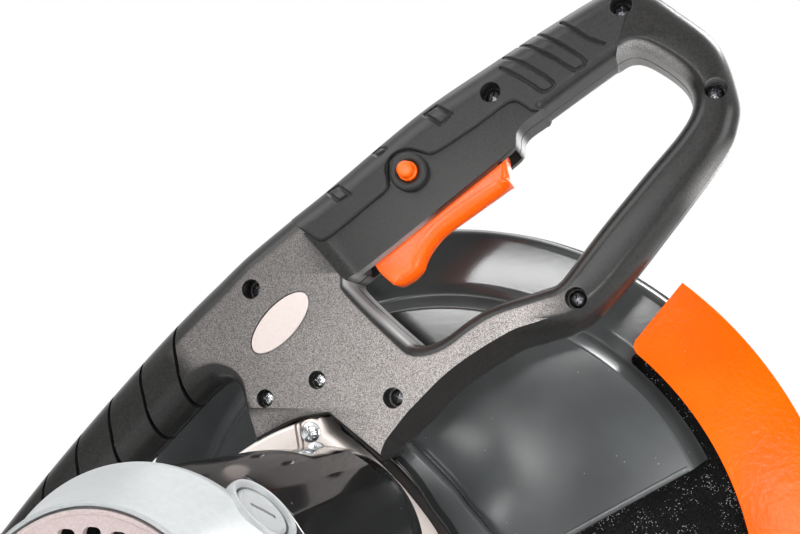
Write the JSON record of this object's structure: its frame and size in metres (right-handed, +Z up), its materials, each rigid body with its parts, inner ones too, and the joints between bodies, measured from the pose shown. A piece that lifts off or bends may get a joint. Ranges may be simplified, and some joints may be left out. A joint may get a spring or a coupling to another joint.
{
  "type": "abrasive cut-off machine",
  "caption": "Bench-top metal cut-off machine with a pivoting motor head, gear-driven abrasive wheel, swinging guard, D-shaped handle, fence and screw vice.",
  "frame": {"origin": "middle of the object's bounding box, at the height of the feet's undersides", "axes": "+X towards the user and the vice's crank, +Y away from the motor, across the wheel, +Z up; the head is raised"},
  "size_m": [0.6347, 0.395, 0.6355],
  "materials": {
    "steel": "satin",
    "dark_steel": "satin",
    "cast_aluminium": "satin",
    "black_casting": "gloss",
    "guard_paint": "satin",
    "orange_paint": "satin",
    "base_paint": "satin",
    "shell_plastic": "matte",
    "orange_plastic": "satin",
    "gloss_black": "gloss",
    "pale_plastic": "satin",
    "soft_grip": "matte",
    "rubber": "matte",
    "abrasive": "matte",
    "copper": "satin",
    "wound_core": "satin",
    "carbon": "matte"
  },
  "bodies": {
    "base": {"base_frame": "base_paint", "foot_rear_near": "rubber", "foot_front_near": "rubber", "foot_rear_far": "rubber", "foot_front_far": "rubber", "fence_pivot_bolt": "steel", "pivot_bracket": "base_paint", "pivot_shaft": "steel", "depth_stop_bolt": "steel", "torsion_spring": "steel", "vice_nut_block": "base_paint"},
    "head": {"head_arm": "cast_aluminium", "handle_foot_bolt": "steel", "fixed_guard": "guard_paint", "bearing_retainer": "cast_aluminium", "guard_side_cover": "guard_paint", "guard_retainer": "steel", "ring_plate": "black_casting", "gear_case": "cast_aluminium", "spindle_bearing_front": "steel", "spindle_bearing_rear": "steel", "rotor_bearing_front": "steel", "rotor_bearing_rear": "steel", "motor_housing": "gloss_black", "stator": "wound_core", "motor_end_cap": "pale_plastic", "vent_plate": "pale_plastic", "brush_upper": "carbon", "brush_lower": "carbon", "brush_cap_upper": "pale_plastic", "brush_cap_lower": "pale_plastic", "handle_shell_near": "shell_plastic", "handle_shell_far": "shell_plastic", "grip_overmould": "soft_grip", "button_collar": "shell_plastic", "badge_plate": "pale_plastic", "switch_body": "gloss_black", "cord_inlet": "rubber"},
    "swing_guard_body": {"swing_guard": "orange_paint"},
    "wheel": {"cutting_wheel": "abrasive", "inner_flange": "steel", "outer_flange": "steel", "wheel_bolt": "steel", "spindle": "steel", "drive_gear": "steel"},
    "rotor": {"rotor_shaft": "steel", "armature": "wound_core", "commutator": "copper", "cooling_fan": "gloss_black"},
    "trigger_body": {"trigger": "orange_plastic"},
    "button": {"lock_off_button": "orange_plastic"},
    "fence_body": {"fence": "dark_steel", "fence_clamp_bolt": "steel"},
    "vice_jaw_body": {"vice_jaw": "dark_steel"},
    "vice_screw_body": {"vice_screw": "steel", "vice_crank": "dark_steel"},
    "vice_knob_body": {"vice_knob": "gloss_black"},
    "lock_pin_body": {"lock_pin": "steel"}
  },
  "joints": [
    {"name": "head_pivot", "type": "hinge", "parent": "base", "child": "head", "pos_m": [-0.19965, 0.04, 0.14], "axis": [0, 1, 0], "range_deg": [0, 35], "stiffness_Nm_per_rad": 15, "springref_deg": -100.27},
    {"name": "swing_guard_swing", "type": "hinge", "parent": "head", "child": "swing_guard_body", "pos_m": [-0.04565, 0.0875, 0.337], "axis": [0, -1, 0], "range_deg": [0, 60]},
    {"name": "wheel_spin", "type": "hinge", "parent": "head", "child": "wheel", "pos_m": [-0.04565, 0.0875, 0.337], "axis": [0, 1, 0], "continuous": true},
    {"name": "rotor_spin", "type": "hinge", "parent": "head", "child": "rotor", "pos_m": [-0.09059, 0, 0.35892], "axis": [0, 1, 0], "continuous": true},
    {"name": "trigger_squeeze", "type": "hinge", "parent": "head", "child": "trigger_body", "pos_m": [-0.00615, 0.02, 0.5545], "axis": [0, 1, 0], "range_deg": [0, 6], "stiffness_Nm_per_rad": 1.5, "springref_deg": -17.19},
    {"name": "button_press", "type": "slide", "parent": "head", "child": "button", "axis": [0, 1, 0], "range_m": [0, 0.004], "stiffness_N_per_m": 400, "springref_m": -0.002},
    {"name": "fence_swing", "type": "hinge", "parent": "base", "child": "fence_body", "pos_m": [-0.07265, 0.0475, 0.06], "axis": [0, 0, -1], "range_deg": [0, 45]},
    {"name": "vice_jaw_slide", "type": "slide", "parent": "base", "child": "vice_jaw_body", "axis": [1, 0, 0], "range_m": [-0.0451, 0.0751]},
    {"name": "vice_screw_turn", "type": "hinge", "parent": "vice_jaw_body", "child": "vice_screw_body", "pos_m": [0.02535, 0.0075, 0.092], "axis": [1, 0, 0], "range_deg": [-2700, 4500]},
    {"name": "vice_knob_spin", "type": "hinge", "parent": "vice_screw_body", "child": "vice_knob_body", "pos_m": [0.27535, 0.0075, 0.152], "axis": [1, 0, 0], "continuous": true},
    {"name": "lock_pin_slide", "type": "slide", "parent": "base", "child": "lock_pin_body", "axis": [0, 1, 0], "range_m": [0, 0.014]}
  ],
  "couplings": [
    {"joint": "swing_guard_swing", "follows": "head_pivot", "ratio": 1.7143},
    {"joint": "rotor_spin", "follows": "wheel_spin", "ratio": -2.3333},
    {"joint": "vice_jaw_slide", "follows": "vice_screw_turn", "m_per_rad": 0.00095493}
  ]
}
